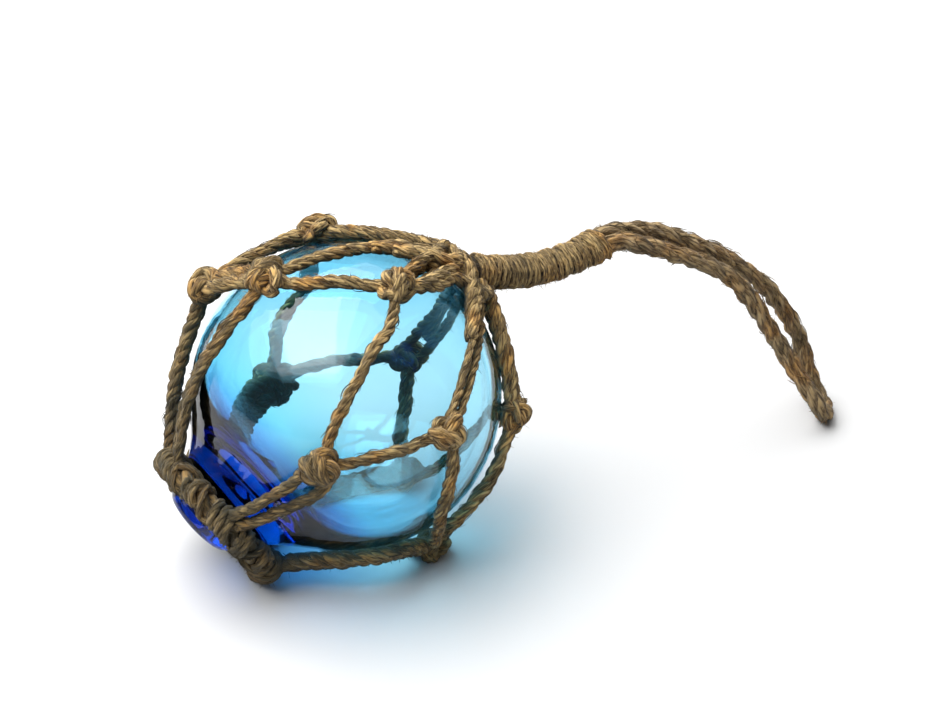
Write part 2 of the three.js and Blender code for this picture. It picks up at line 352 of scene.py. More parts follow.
def buildFibreGroup():
    # twisted plant fibre: fine lines along the strand, slow patches over the piece, painted shade in the
    # creases
    group = bpy.data.node_groups.new("twistedFibre", "ShaderNodeTree")
    for name in ("Dark", "Middle", "Light", "Stain", "Warm"):
        group.interface.new_socket(name, in_out="INPUT", socket_type="NodeSocketColor")
    for name in ("Fineness", "Stain Amount"):
        group.interface.new_socket(name, in_out="INPUT", socket_type="NodeSocketFloat")
    group.interface.new_socket("Color", in_out="OUTPUT", socket_type="NodeSocketColor")
    for name in ("Height", "Roughness"):
        group.interface.new_socket(name, in_out="OUTPUT", socket_type="NodeSocketFloat")
    nodes, links = group.nodes, group.links
    given = nodes.new("NodeGroupInput").outputs
    out = nodes.new("NodeGroupOutput").inputs
    place = nodes.new("ShaderNodeTexCoord")
    stretch = nodes.new("ShaderNodeMapping")
    stretch.inputs["Scale"].default_value = (1, 1, 0.085)
    links.new(pointValue(group, "lay").outputs["Vector"], stretch.inputs["Vector"])

    fibres = noise(group, stretch.outputs["Vector"], 3)
    fibres.inputs["Roughness"].default_value = 0.62
    links.new(given["Fineness"], fibres.inputs["Scale"])
    bundles = noise(group, stretch.outputs["Vector"], 1, 1.8)
    patches = noise(group, place.outputs["Object"], 2, 130)
    both = reckoned(group, "ADD", fibres.outputs["Fac"], bundles.outputs["Fac"])
    lines = ranged(group, both.outputs["Value"], {"From Min": 0.84, "From Max": 1.2})
    lines.interpolation_type = "SMOOTHSTEP"
    gaps = ranged(group, both.outputs["Value"], {"From Min": 0.72, "From Max": 0.96})

    # narrow seams where one bundle of fibres meets the next
    fromSeam = reckoned(group, "SUBTRACT", bundles.outputs["Fac"], 0.5)
    seamWidth = reckoned(group, "ABSOLUTE", fromSeam.outputs["Value"])
    seams = ranged(group, seamWidth.outputs["Value"], {"From Max": 0.045, "To Min": 0.42})
    threads = reckoned(group, "MULTIPLY", gaps.outputs["Result"], seams.outputs["Result"])

    shade = pointValue(group, "shade")
    outOfCrease = ranged(group, shade.outputs["Fac"], {"From Min": 0.1, "From Max": 0.62})
    filled = reckoned(group, "MULTIPLY", outOfCrease.outputs["Result"], threads.outputs["Value"])
    body = blended(group, filled.outputs["Value"], given["Dark"], given["Middle"])
    lineShare = reckoned(group, "MULTIPLY", lines.outputs["Result"], filled.outputs["Value"])
    lined = blended(group, lineShare.outputs["Value"], body.outputs["Result"], given["Light"])
    warmth = ranged(group, patches.outputs["Fac"], {"From Min": 0.5, "From Max": 0.34})
    warmed = blended(group, warmth.outputs["Result"], lined.outputs["Result"], given["Warm"], "MULTIPLY")

    spots = ranged(group, patches.outputs["Fac"], {"From Min": 0.5, "From Max": 0.72})
    spotShare = reckoned(group, "MULTIPLY", spots.outputs["Result"], given["Stain Amount"])
    # the point attribute adds painted shade (underneath and against the glass) and darkening toward the seal
    # to the stain patches; both mix toward the stain colour
    paintedShadeAndSealDarkness = pointValue(group, "sealDarkAndPaintedShade")
    stainAndPaintedShade = reckoned(group, "ADD", spotShare.outputs["Value"], paintedShadeAndSealDarkness.outputs["Fac"])
    stainAndPaintedShade.use_clamp = True
    stainedAndPaintedShade = blended(group, stainAndPaintedShade.outputs["Value"], warmed.outputs["Result"], given["Stain"])
    links.new(stainedAndPaintedShade.outputs["Result"], out["Color"])

    height = reckoned(group, "ADD", both.outputs["Value"], seams.outputs["Result"])
    links.new(height.outputs["Value"], out["Height"])
    dryness = ranged(group, fibres.outputs["Fac"], {"To Min": 0.95, "To Max": 0.7})
    links.new(dryness.outputs["Result"], out["Roughness"])
    return group


fibreGroup = buildFibreGroup()


def fibreMaterial(name, look):
    material = bpy.data.materials.new(name)
    material.use_nodes = True
    nodes, links = material.node_tree.nodes, material.node_tree.links
    shader = nodes["Principled BSDF"]
    fibre = nodes.new("ShaderNodeGroup")
    fibre.node_tree = fibreGroup
    for socket in ("Dark", "Middle", "Light", "Stain", "Warm"):
        fibre.inputs[socket].default_value = (*look[socket.lower()], 1)
    fibre.inputs["Fineness"].default_value = look["fineness"]
    fibre.inputs["Stain Amount"].default_value = look["stainAmount"]
    bump = nodes.new("ShaderNodeBump")
    bump.inputs["Strength"].default_value = look["bump"]
    bump.inputs["Distance"].default_value = 0.0004
    links.new(fibre.outputs["Height"], bump.inputs["Height"])
    links.new(bump.outputs["Normal"], shader.inputs["Normal"])
    links.new(fibre.outputs["Color"], shader.inputs["Base Color"])
    links.new(fibre.outputs["Roughness"], shader.inputs["Roughness"])
    shader.inputs["Specular IOR Level"].default_value = 0.25
    shader.inputs["Sheen Weight"].default_value = look["sheen"]
    shader.inputs["Sheen Roughness"].default_value = 0.5
    return material


juteLook = {
    "dark": (0.02, 0.011, 0.004),
    "middle": (0.235, 0.148, 0.055),
    "light": (0.64, 0.445, 0.185),
    # the stain colour; painted shade and the darkening toward the seal mix toward it too
    "stain": (0.062, 0.05, 0.024),
    "warm": (1.0, 0.8, 0.55),
    "fineness": 4.6,
    "stainAmount": 0.5,
    "bump": 1.0,
    "sheen": 0.1,
}
jute = fibreMaterial("jute_cord", juteLook)
loopLook = {
    **juteLook, "dark": (0.045, 0.028, 0.013), "middle": (0.2, 0.128, 0.06), "light": (0.42, 0.295, 0.145),
    "fineness": 3.2, "stainAmount": 0.35,
}
loopJute = fibreMaterial("jute_loop", loopLook)
fuzzLook = {
    **juteLook, "dark": (0.06, 0.038, 0.015), "middle": (0.26, 0.17, 0.07),
    "bump": 0.0, "stainAmount": 0.3,
}
fuzz = fibreMaterial("jute_fuzz", fuzzLook)
print("jute mixed")


# hanging loop: the cord leaves the neck, lies its bend on the floor and comes back to the neck

hangingLoop = {
    "diameter": 0.0039,
    "length": 0.195,
    "route": [  # millimetres, from inside the neck's whipping and back into it
        (50.6, 39.5, 61.3), (53.4, 41.5, 62), (55.5, 42.8, 62.2),
        (60.8, 45.4, 61.4), (67.4, 48.2, 59.3), (74.1, 50.5, 56),
        (80.9, 53, 51.9), (87.9, 55.8, 46.9), (95, 58.4, 40.4), (100.9, 60.8, 32.8), (105.6, 62.8, 24.6),
        (109.4, 63.8, 16.2), (111.8, 62.6, 8), (113.9, 59.8, 4), (115.2, 56, 2.5), (115.3, 52, 2.6),
        (114.2, 48.6, 4.6), (112, 47.4, 8.2), (109.1, 48.4, 12.8), (104.4, 51.2, 19.2), (100.9, 51.8, 25),
        (97.3, 51.4, 31.4), (93.2, 50.4, 38.4), (88.3, 49, 44.8), (82, 47.2, 49.9), (75.2, 45.2, 53.7),
        (68.6, 43, 57), (62.4, 40.9, 59.8), (57.9, 39.3, 61.6), (55.8, 38, 61.3),
        (52.8, 36.3, 60.7),
    ],
    "rope": {
        "plies": 3, "lay": 0.0175, "offset": 0.00098, "radius": 0.00142, "sides": 14,
        "uneven": 0.16, "slub": 0.12, "fibreTurn": -140, "rough": 0.13,
    },
}


def makeLoop():
    dice = np.random.default_rng(11)
    route = smoothThrough(np.array(hangingLoop["route"]) * mm, 0.0006)
    skein = newSkein()
    layRope(skein, route, hangingLoop["rope"], dice)
    piece = makePiece("hanging_loop_cord", skein, loopJute)
    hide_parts("hanging_loop")
    return skein


loopSkein = makeLoop()
print("loop laid")


# glass

glassShape = {
    "segments": 128,
    "rings": 96,
    "cutHeight": -0.0303,  # where the sphere ends and the seal is drawn out
    "seal": [  # radius, place along the axis, and how far off the axis
        (0.0186, -0.0340, 0), (0.0152, -0.0374, 0.0002), (0.0130, -0.0398, 0.0005),
        (0.0118, -0.0416, 0.0008), (0.0112, -0.0431, 0.0011), (0.0107, -0.0443, 0.0013),
        (0.0103, -0.0454, 0.0014), (0.0099, -0.0463, 0.0015), (0.0092, -0.0470, 0.0015),
        (0.0080, -0.0474, 0.0015), (0.0058, -0.0476, 0.0015), (0.0030, -0.0477, 0.0015),
        (0.0010, -0.0477, 0.0015),
    ],
    "sealLeans": math.radians(138),  # which way round the axis it was pressed
    "slant": 0.2,  # rise over run of the seal's end, which was cut a little askew
    "slantFaces": math.radians(228),
    "slantFrom": -0.0430,  # place along the axis
    "slantOver": 0.004,
    "wall": 0.002,  # at the crown and round the middle
    "wallAtSeal": 0.0115,
    "thickensFrom": 92,  # degrees from the crown
    "thickerOnTop": 0.002,  # where the float lay cooling
}


def deselect():
    if bpy.context.object and bpy.context.object.mode != "OBJECT":
        bpy.ops.object.mode_set(mode="OBJECT")
    bpy.ops.object.select_all(action="DESELECT")


def addBall():
    deselect()
    bpy.ops.mesh.primitive_uv_sphere_add(
        segments=glassShape["segments"], ring_count=glassShape["rings"], radius=lying["glassRadius"]
    )
    return bpy.context.object


def blowOutside():
    outside = addBall()
    bpy.ops.object.mode_set(mode="EDIT")
    bpy.ops.mesh.select_all(action="SELECT")
    bpy.ops.mesh.bisect(plane_co=(0, 0, glassShape["cutHeight"]), plane_no=(0, 0, -1), clear_outer=True)
    radius = math.sqrt(lying["glassRadius"] ** 2 - glassShape["cutHeight"] ** 2)
    centre = Vector((0, 0, glassShape["cutHeight"]))
    lean = glassShape["sealLeans"]
    for nextRadius, height, aside in glassShape["seal"]:
        nextCentre = Vector((aside * math.cos(lean), aside * math.sin(lean), height))
        bpy.ops.mesh.extrude_region_move(TRANSFORM_OT_translate={"value": nextCentre - centre})
        size = nextRadius / radius
        bpy.ops.transform.resize(value=(size, size, 1), center_override=nextCentre)
        radius, centre = nextRadius, nextCentre
    bpy.ops.mesh.merge(type="CENTER")
    bpy.ops.mesh.select_all(action="SELECT")
    bpy.ops.mesh.normals_make_consistent(inside=False)
    bpy.ops.object.mode_set(mode="OBJECT")
    high = glassShape["slantFaces"]
    for vert in outside.data.vertices:
        share = max(0, min(1, (glassShape["slantFrom"] - vert.co.z) / glassShape["slantOver"]))
        vert.co.z -= glassShape["slant"] * share * (vert.co.x * math.cos(high) + vert.co.y * math.sin(high))
    return outside


def blowCavity():
    cavity = addBall()
    start = math.radians(glassShape["thickensFrom"])
    for vert in cavity.data.vertices:  # the gather of thick glass at the seal fills the cavity's end
        fromCrown = math.acos(max(-1, min(1, vert.co.z / vert.co.length)))
        share = max(0, (fromCrown - start) / (math.pi - start))
        wall = glassShape["wall"] + (glassShape["wallAtSeal"] - glassShape["wall"]) * share ** 3
        upward = (layDown.to_3x3() @ vert.co.normalized()).z
        wall += glassShape["thickerOnTop"] * max(0, upward) ** 4
        vert.co *= 1 - wall / lying["glassRadius"]
    bpy.ops.object.mode_set(mode="EDIT")
    bpy.ops.mesh.select_all(action="SELECT")
    bpy.ops.mesh.flip_normals()
    bpy.ops.object.mode_set(mode="OBJECT")
    return cavity


glassLook = {
    "tint": [  # place along the axis in millimetres, and the glass's colour there
        (24, (0.99, 1.0, 1.0)), (0, (0.96, 0.995, 1.0)), (-18, (0.73, 0.965, 1.0)),
        (-26, (0.5, 0.68, 0.92)), (-34, (0.27, 0.28, 0.54)), (-48, (0.22, 0.24, 0.75)),
    ],
    "waviness": 0.0004,
    "waveScale": 48,
    "absorb": (0.03, 0.73, 0.93),
    "density": 220,
    "ior": 1.49,
    "roughness": 0.0,
    "shadow": 0.9,  # how much light each surface lets on to what is behind it
}


def glassMaterial():
    material = bpy.data.materials.new("blue_glass")
    material.use_nodes = True
    nodes, links = material.node_tree.nodes, material.node_tree.links
    shader = nodes["Principled BSDF"]
    place = nodes.new("ShaderNodeTexCoord")
    toAxis = nodes.new("ShaderNodeVectorMath")
    toAxis.operation = "DOT_PRODUCT"
    axis = layDown.to_3x3() @ Vector((0, 0, 1))
    toAxis.inputs[1].default_value = axis
    links.new(place.outputs["Object"], toAxis.inputs[0])
    middle = axis.dot(Vector(lying["centre"]))
    far, near = glassLook["tint"][-1][0], glassLook["tint"][0][0]
    alongAxis = nodes.new("ShaderNodeMapRange")
    alongAxis.inputs["From Min"].default_value = middle + far * mm
    alongAxis.inputs["From Max"].default_value = middle + near * mm
    links.new(toAxis.outputs["Value"], alongAxis.inputs["Value"])
    tint = nodes.new("ShaderNodeValToRGB")
    stops = tint.color_ramp.elements
    while len(stops) < len(glassLook["tint"]):
        stops.new(0.5)
    for stop, (height, colour) in zip(stops, reversed(glassLook["tint"])):
        stop.position = (height - far) / (near - far)
        stop.color = (*colour, 1)
    links.new(alongAxis.outputs["Result"], tint.inputs["Fac"])
    links.new(tint.outputs["Color"], shader.inputs["Base Color"])
    waves = nodes.new("ShaderNodeTexNoise")
    waves.inputs["Scale"].default_value = glassLook["waveScale"]
    waves.inputs["Detail"].default_value = 1
    links.new(place.outputs["Object"], waves.inputs["Vector"])
    bump = nodes.new("ShaderNodeBump")
    bump.inputs["Distance"].default_value = glassLook["waviness"]
    links.new(waves.outputs["Fac"], bump.inputs["Height"])
    links.new(bump.outputs["Normal"], shader.inputs["Normal"])
    shader.inputs["Roughness"].default_value = glassLook["roughness"]
    shader.inputs["IOR"].default_value = glassLook["ior"]
    shader.inputs["Transmission Weight"].default_value = 1
    absorb = nodes.new("ShaderNodeVolumeAbsorption")
    absorb.inputs["Color"].default_value = (*glassLook["absorb"], 1)
    absorb.inputs["Density"].default_value = glassLook["density"]
    output = nodes["Material Output"]
    links.new(absorb.outputs["Volume"], output.inputs["Volume"])
    lampsThrough = nodes.new("ShaderNodeBsdfTransparent")
    lampsThrough.inputs["Color"].default_value = (glassLook["shadow"],) * 3 + (1,)
    lightPath = nodes.new("ShaderNodeLightPath")
    mix = nodes.new("ShaderNodeMixShader")
    links.new(lightPath.outputs["Is Shadow Ray"], mix.inputs["Fac"])
    links.new(shader.outputs["BSDF"], mix.inputs[1])
    links.new(lampsThrough.outputs["BSDF"], mix.inputs[2])
    links.new(mix.outputs["Shader"], output.inputs["Surface"])
    return material


def makeGlass():
    outside = blowOutside()
    cavity = blowCavity()
    deselect()
    cavity.select_set(True)
    outside.select_set(True)
    bpy.context.view_layer.objects.active = outside
    bpy.ops.object.join()
    outside.name = "blown_glass_ball"
    outside.data.name = "blown_glass_ball"
    outside.data.transform(layDown)
    bpy.ops.object.shade_smooth()
    outside.data.materials.clear()
    outside.data.materials.append(glassMaterial())
    deselect()
    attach(outside, next(iter(frame["bodies"])))
    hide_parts("glass_ball")


makeGlass()
print("glass blown")


# net

netCord = {
    "track": 0.0394,  # from the ball's centre to the cord's middle, where it lies on the glass
    "pairSpacing": 0.0027,
    "step": 0.0007,  # between the points of a cord's path
    "sways": 0.00025,
    "lifts": 0.00018,
    "steadyNear": 0.006,  # how near a knot it stops swaying
    "rope": {
        "plies": 3, "lay": 0.0086, "offset": 0.00062, "radius": 0.00088, "sides": 10,
        "uneven": 0.16, "slub": 0.12, "fibreTurn": -200, "rough": 0.14,
    },
}
# a place on the ball is degrees from the crown, degrees round the axis (0 faces the floor), millimetres out
knots = {
    "crownFront": (54, 210, 41),
    "crownNear": (76, 263, 41.2),
    "crownRight": (49, 312, 41.2),
    "crownBack": (58, 46, 41.2),
    "crownTop": (58, 142, 40.5),
    "lowNear": (115, 242, 41),
    "lowUnder": (102, 333, 43.5),
    "lowFloor": (92, 11, 43),
    "lowBack": (104, 73, 41.6),
    "lowTall": (100, 149, 43.2),
    "lowTop": (85, 176, 41.4),
}
crown = (0, 0, 42.5)
# runs of the net: knots joined, how far apart a pair's cords lie at each end (0 for one cord), thickness, way
crownRuns = [
    ("crownFront", (1.1, 1.5), 1.1, [(10, 195, 42), (26, 202), (42, 209)]),
    ("crownNear", (0.9, 1), 0.68, [(10, 245, 42), (29, 252), (45, 256), (62, 260)]),
    ("crownRight", (1, 1), 1.4, [(10, 285, 42), (22, 302, 40.2), (36, 308, 39.9)]),
    ("crownBack", (1.5, 2), 1.05, [(12, 58, 42), (28, 50), (44, 47)]),
    ("crownTop", (0.9, 0.9), 1.15, [(12, 163, 41.6), (25, 155, 39.8), (40, 150, 39.6)]),
    ("lowTop", (0, 0), 1.05, [(12, 172, 41.8), (26, 170), (45, 179), (64, 178)]),
    ("lowTall", (0, 0), 1,
     [(12, 150, 42.4), (26, 143), (44, 135), (60, 132), (76, 139, 40.4), (90, 144, 41.8)]),
]
meshRuns = [
    ("crownFront", "lowNear", (0, 0), 1, [(65, 221), (78, 225), (90, 229), (102, 234)]),
    ("crownNear", "lowNear", (0, 0), 1, [(85, 259), (96, 254), (107, 248)]),
    ("crownNear", "lowUnder", (0, 0), 1.1, [(82, 278), (88, 285), (95, 296), (100, 313, 40.6)]),
    ("crownRight", "lowUnder", (0, 0), 1.15,
     [(60, 313, 40.4), (73, 314, 40.6), (86, 317, 40.4), (96, 324, 41)]),
    ("crownRight", "lowFloor", (0, 0), 1.2, [(50, 331), (62, 348), (74, 354), (84, 1, 40.6)]),
    ("crownBack", "lowFloor", (0, 0), 1.35, [(68, 34), (80, 24), (87, 17, 40.8)]),
    ("crownBack", "lowBack", (0, 0), 1.25, [(70, 58), (82, 66), (93, 71)]),
    ("crownTop", "lowBack", (0, 0), 1.3, [(60, 122), (68, 105), (80, 96), (92, 86)]),
    ("crownTop", "lowTall", (0, 0), 1.15, [(68, 146, 40.4), (80, 149, 40.8), (91, 151, 42)]),
    ("crownFront", "lowTop", (0, 0), 1.1, [(62, 201), (71, 192), (79, 185)]),
    ("lowTop", "lowTall", (1.1, 1.1), 1.3, [(89, 165, 40.6), (95, 157, 41.8)]),
]
ringTies = {  # degrees round the ring, and how big the tie is
    "floor": (12, 1), "back": (85, 1), "tall": (130, 0.78), "top": (172, 0.74), "near": (240, 0.8),
    "under": (318, 0.95),
}
ringRuns = [
    ("lowFloor", "floor", (1.6, 1), 1.35, [(108, 18, 40.2), (125, 20, 39.9), (142, 17, 41.2)]),
    ("lowBack", "back", (2, 1.2), 1.8, [(118, 76), (133, 79, 40.4), (146, 82, 42)]),
    ("lowTall", "tall", (0.5, 0.6), 1.2,
     [(112, 143, 41), (125, 141, 40.8), (139, 138, 41.8), (149, 134, 43)]),
    ("lowTop", "top", (0.5, 0.6), 0.92,
     [(98, 176), (112, 175), (127, 170), (141, 168, 41.2), (150, 170, 43)]),
    ("lowNear", "near", (2.4, 1), 1, [(124, 246), (136, 246, 40.2), (149, 244, 42.6)]),
    ("lowUnder", "under", (0.9, 1.1), 1.4,
     [(112, 318, 40), (122, 310, 39.8), (134, 309, 39.9), (147, 312, 41.6)]),
]
baseRing = {"radius": 15.8, "height": -42.4, "tieOut": 1.2}  # millimetres


def onBall(place):
    fromCrown, around, out = (*place, netCord["track"] / mm)[:3]
    phi, theta = math.radians(fromCrown), math.radians(around)
    local = np.array([math.sin(phi) * math.cos(theta), math.sin(phi) * math.sin(theta), math.cos(phi)])
    return ballCentre + ballTurn @ (local * out * mm)


def tiePlace(around):
    radius = baseRing["radius"] + baseRing["tieOut"]
    out = math.hypot(radius, baseRing["height"])
    return (math.degrees(math.acos(baseRing["height"] / out)), around, out)


def netPath(places, shifts, dice):
    path = smoothThrough([onBall(p) for p in places], netCord["step"])
    along = unit(np.gradient(path, axis=0))
    outward = unit(path - ballCentre)
    beside = np.cross(outward, along)
    run = runAlong(path)
    ease = np.clip(np.minimum(run, run[-1] - run) / netCord["steadyNear"], 0, 1)
    shift = np.interp(run / run[-1], [0, 1], shifts)
    path = path + beside * (shift + wander(dice, run, 0.021, netCord["sways"]) * ease)[:, None]
    away = np.linalg.norm(path - ballCentre, axis=1)
    lift = np.maximum(away, netCord["track"]) + np.abs(wander(dice, run, 0.017, netCord["lifts"])) * ease
    return ballCentre + unit(path - ballCentre) * lift[:, None]


def makeNet():
    dice = np.random.default_rng(23)
    skein = newSkein()
    half = netCord["pairSpacing"] / 2
    runs = [(spread, thick, [crown, *way, knots[end]]) for end, spread, thick, way in crownRuns]
    runs += [(spread, thick, [knots[begin], *way, knots[end]]) for begin, end, spread, thick, way in meshRuns]
    runs += [(spread, thick, [knots[begin], *way, tiePlace(ringTies[tie][0])])
             for begin, tie, spread, thick, way in ringRuns]
    for spread, thick, places in runs:
        for side in ((-1, 1) if any(spread) else (0,)):
            path = netPath(places, [side * half * s for s in spread], dice)
            layRope(skein, path, netCord["rope"], dice, start=path[0] - ballCentre, thickness=thick)
    return skein


netSkein = makeNet()
netPiece = makePiece("net_cords", netSkein, jute)
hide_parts("net")
print("net laid")


# knots

knotCord = {
    "plies": 3, "lay": 0.0095, "offset": 0.00066, "radius": 0.00098, "sides": 10,
    # openness below the usual 0.5 paints the knots' creases in deeper shade
    "uneven": 0.1, "slub": 0.14, "fibreTurn": -240, "rough": 0.13, "openness": 0.38,
}
# width, length and depth of the knotted cord's own turns in millimetres, and the knot's turn in degrees;
# then the binding turns over it: how far from the middle, their lean in degrees
knotShapes = {
    "crownFront": (3.3, 3.9, 1.7, 20, [(0.2, 38)]),
    "crownNear": (3.3, 3.8, 1.6, 65, [(1.2, -28)]),
    "crownRight": (3.3, 3.8, 1.6, 10, [(0, 20)]),
    "crownBack": (3.8, 4.2, 1.6, 40, [(-1.2, 25), (1.4, 12)]),
    "crownTop": (3.7, 4.1, 1.8, 80, [(-0.6, 75)]),
    "lowNear": (3.5, 4.2, 1.4, 100, [(-0.6, 12), (1.5, -16)]),
    "lowUnder": (3.5, 4.2, 2.0, 30, [(0.4, -30)]),
    "lowFloor": (4.2, 4.6, 2.0, 55, [(-1.0, 30), (1.6, 8)]),
    "lowBack": (5.6, 7, 2.2, 75, [(-2.6, 20), (0.2, 8), (2.4, -14)]),
    "lowTall": (3.3, 3.9, 1.9, 15, [(0, 60)]),
    "lowTop": (5.8, 3.3, 1.5, 90, [(-0.4, 70), (0.6, 104)]),
}


def ballFrame(place):
    # at a place on the ball: straight out, away from the crown, and round the axis
    here = onBall(place)
    further = onBall((place[0] + 1, *place[1:]))
    out = unit(here - ballCentre)
    away = further - here
    away = unit(away - out * (away @ out))
    return here, out, away, np.cross(out, away)


def clearOfGlass(path, track):
    away = np.linalg.norm(path - ballCentre, axis=1)
    return ballCentre + unit(path - ballCentre) * np.maximum(away, track)[:, None]


def knotPath(place, wide, long, deep, turn):
    # an overhand knot pulled tight: three lobes that pass over and under each other
    here, out, away, across = ballFrame(place)
    t = np.linspace(0, 2 * math.pi, 84, endpoint=False)
    lobes = 0.6 + 0.36 * np.cos(3 * t)
    angle = 2 * t + math.radians(turn)
    flat = np.stack([lobes * np.cos(angle) * long, lobes * np.sin(angle) * wide], axis=1) * mm
    path = here + away * flat[:, :1] + across * flat[:, 1:] + out * (np.sin(3 * t) * deep * mm)[:, None]
    return clearOfGlass(path, netCord["track"] - 0.0001)


def bindingPath(place, wide, long, deep, middle, lean):
    # one turn of cord laid over the knot and under it
    here, out, away, across = ballFrame(place)
    lean = math.radians(lean)
    side = across * math.cos(lean) + away * math.sin(lean)
    reach = wide * abs(math.cos(lean)) + long * abs(math.sin(lean))
    t = np.linspace(0, 2 * math.pi, 44, endpoint=False)
    swell = 1 - 0.1 * (middle / long) ** 2
    path = here + away * middle * mm + side * (np.cos(t) * (reach * 0.72 * swell) * mm)[:, None]
    path = path + out * ((np.sin(t) * (deep + 0.9) + 0.3) * swell * mm)[:, None]
    path = path + away * (np.sin(2 * t) * 0.35 * mm)[:, None]
    return clearOfGlass(path, netCord["track"] - 0.0002)


def makeKnots():
    dice = np.random.default_rng(5)
    skein = newSkein()
    for name, place in knots.items():
        wide, long, deep, turn, bindings = knotShapes[name]
        layRope(skein, knotPath(place, wide, long, deep, turn), knotCord, dice, closed=True)
        for middle, lean in bindings:
            path = bindingPath(place, wide, long, deep, middle, lean)
            layRope(skein, path, knotCord, dice, closed=True, thickness=0.95)
    return skein


knotSkein = makeKnots()
knotPiece = makePiece("net_knots", knotSkein, jute)
print("knots tied")


# crown: the cords cross over each other before they turn into the neck

crownThickness = 1.12
crownStrands = [  # places on the ball; the first strand's last end lies free, beside the neck
    [(54, 210, 41.2), (44, 206, 41.5), (33, 200, 42.2), (22, 188, 42.8), (16, 168, 43.4),
     (12, 145, 42.8), (8, 110, 42)],
    [(54, 211, 41.2), (45, 215, 41.3), (35, 215, 42), (27, 213, 42.6), (17, 205, 43), (8, 199, 43.3),
     (3, 200, 43)],
    [(38, 143, 39.6), (28, 146, 40.6), (19, 154, 42.4), (15.5, 168, 43.6), (15, 186, 43.8),
     (17, 206, 43.8), (19, 222, 43.2), (25, 234, 42), (33, 244, 40.6), (42, 251, 39.8)],
    [(40, 186, 40), (32, 198, 42.6), (28, 206, 43.2), (22, 206, 43.6), (14, 196, 44), (7, 185, 43.6),
     (3, 200, 43)],
    [(48, 214, 40.6), (38, 219, 41), (29, 219, 41.8), (24, 227, 42), (20, 240, 42), (12, 262, 42.2),
     (5, 280, 42.4)],
    [(47, 181, 39.8), (39, 183, 40), (32, 186, 40.8), (25, 186, 41.8), (18, 182, 42.6), (12, 178, 43),
     (6, 190, 43)],
    [(58, 142, 40.5), (46, 150, 40), (34, 156, 40.4), (25, 160, 41.2), (18, 166, 42.4), (12, 176, 43),
     (6, 190, 43)],
    [(40, 150, 39.7), (30, 153, 40.4), (21, 150, 41.8), (13, 150, 42.6), (8, 170, 43), (3, 200, 42.6)],
    [(44, 47, 39.6), (30, 54, 41.2), (17, 55, 42.6), (9, 20, 43.4), (6, 320, 43.4), (3, 250, 43)],
    [(36, 308, 40.2), (24, 330, 41.2), (16, 10, 42.4), (16, 60, 42.8), (22, 110, 42.2), (38, 146, 40)],
    [(33, 200, 40.2), (24, 210, 41.4), (18, 215, 42.2), (11, 215, 42.8), (4, 210, 43)],
    [(42, 251, 39.6), (32, 246, 40.6), (24, 240, 41.8), (17, 225, 42.6), (11, 205, 43), (5, 200, 43)],
]


def makeCrown():
    dice = np.random.default_rng(31)
    skein = newSkein()
    for strand in crownStrands:
        path = smoothThrough([onBall(p) for p in strand], netCord["step"])
        path = clearOfGlass(path, netCord["track"])
        layRope(skein, path, netCord["rope"], dice, thickness=crownThickness)
    return skein


crownSkein = makeCrown()
crownPiece = makePiece("crown_strands", crownSkein, jute)
print("crown gathered")


# ring round the seal, and the ties that hold the net to it

ringRope = {
    "plies": 3, "lay": 0.016, "offset": 0.0013, "radius": 0.0015, "sides": 12,
    "uneven": 0.1, "slub": 0.12, "fibreTurn": -120, "rough": 0.13,
}
tieCord = {
    "plies": 3, "lay": 0.009, "offset": 0.00058, "radius": 0.00086, "sides": 10,
    "uneven": 0.16, "slub": 0.16, "fibreTurn": -200, "rough": 0.13, "openness": 0.42,
}
tieShape = {"turns": 3.2, "pitch": 0.0023, "radius": 0.0033, "lean": 0.0016}
betweenTies = {  # place round the ring, and turns
    "size": 0.74,
    "places": [(40, 1.2), (108, 1.4), (150, 1.2), (206, 1.3), (264, 1.7), (290, 1.3), (345, 1.2)],
}
ringWraps = {  # loose strands: turns round the rope, millimetres from its middle, and where each starts
    "thickness": 0.62,
    "strands": [(6, 3.1, 10), (-9, 3.2, 150), (11, 3.0, 260)],
}


def ringPoint(around, radius, height):
    theta = math.radians(around)
    local = np.array([radius * math.cos(theta), radius * math.sin(theta), height]) * mm
    return ballCentre + ballTurn @ local


def wrapPath(turns, out, start):
    # a strand that wanders round the ring's rope
    theta = np.linspace(0, 2 * math.pi, 150, endpoint=False)
    phase = turns * theta + math.radians(start) + 0.5 * np.sin(3 * theta + start)
    radius, height = baseRing["radius"], baseRing["height"]
    return np.array([
        ringPoint(math.degrees(a), radius + out * math.cos(b), height + out * math.sin(b))
        for a, b in zip(theta, phase)
    ])


def tiePath(around, turns, size, dice):
    # turns of cord about the ring's rope, leaning as they go
    radius, height = baseRing["radius"] + baseRing["tieOut"], baseRing["height"]
    here = ringPoint(around, radius, height)
    along = unit(ringPoint(around + 1, radius, height) - ringPoint(around - 1, radius, height))
    out = unit(here - ballCentre)
    out = unit(out - along * (out @ along))
    beside = np.cross(along, out)
    t = np.linspace(0, 2 * math.pi * turns, int(28 * turns))
    start = dice.random() * 6
    swell = size * tieShape["radius"] * (1 + 0.12 * np.sin(t * 0.7 + start))
    advance = tieShape["pitch"] * (t / (2 * math.pi) - turns / 2) + tieShape["lean"] * np.sin(t + start)
    return (
        here
        + out * (np.cos(t + start) * swell)[:, None]
        + beside * (np.sin(t + start) * swell)[:, None]
        + along * advance[:, None]
    )


